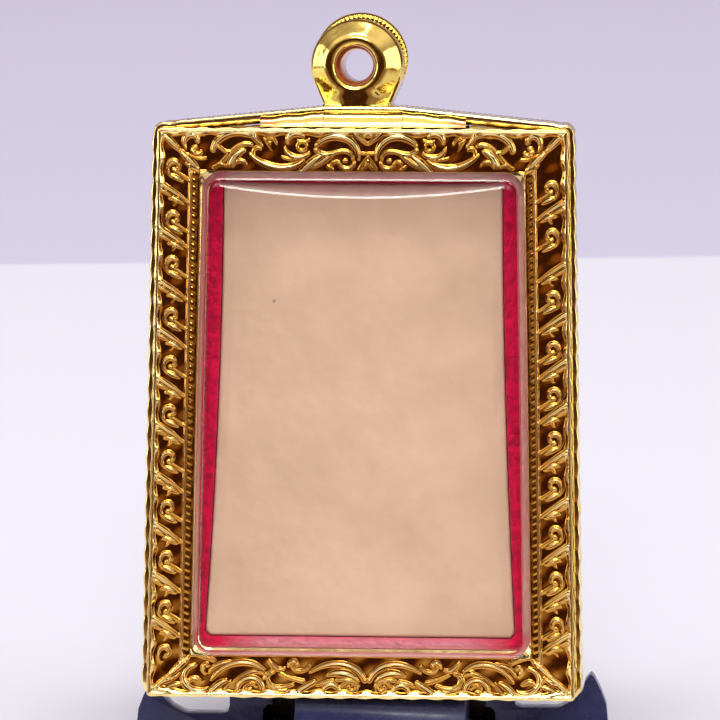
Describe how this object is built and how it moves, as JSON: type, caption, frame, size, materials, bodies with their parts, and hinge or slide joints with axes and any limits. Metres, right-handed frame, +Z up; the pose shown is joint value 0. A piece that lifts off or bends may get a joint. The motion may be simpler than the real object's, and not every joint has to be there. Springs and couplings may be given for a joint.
{
  "type": "cased amulet pendant and display easel",
  "caption": "Cased amulet pendant: a plain tablet behind raised clear panes in mitred frames of scrollwork, with a ring bail on top, leaning on a low moulded display easel.",
  "frame": {"origin": "on the surface that the easel stands on, under the middle of the bounding box", "axes": "+X to the right of the face, +Y from the face to the back, +Z up"},
  "size_m": [0.0387, 0.0314, 0.0606],
  "materials": {
    "gold": "polished gold plate",
    "acrylic": "clear polished acrylic",
    "tablet": "matt pressed clay",
    "liner": "felt",
    "stand": "glossy moulded"
  },
  "bodies": {
    "root": {"front_bezel": "gold", "rear_bezel": "gold", "band_and_bail": "gold", "front_lens": "acrylic", "rear_lens": "acrylic", "tablet": "tablet", "red_liner": "liner", "display_stand": "stand"}
  },
  "joints": []
}
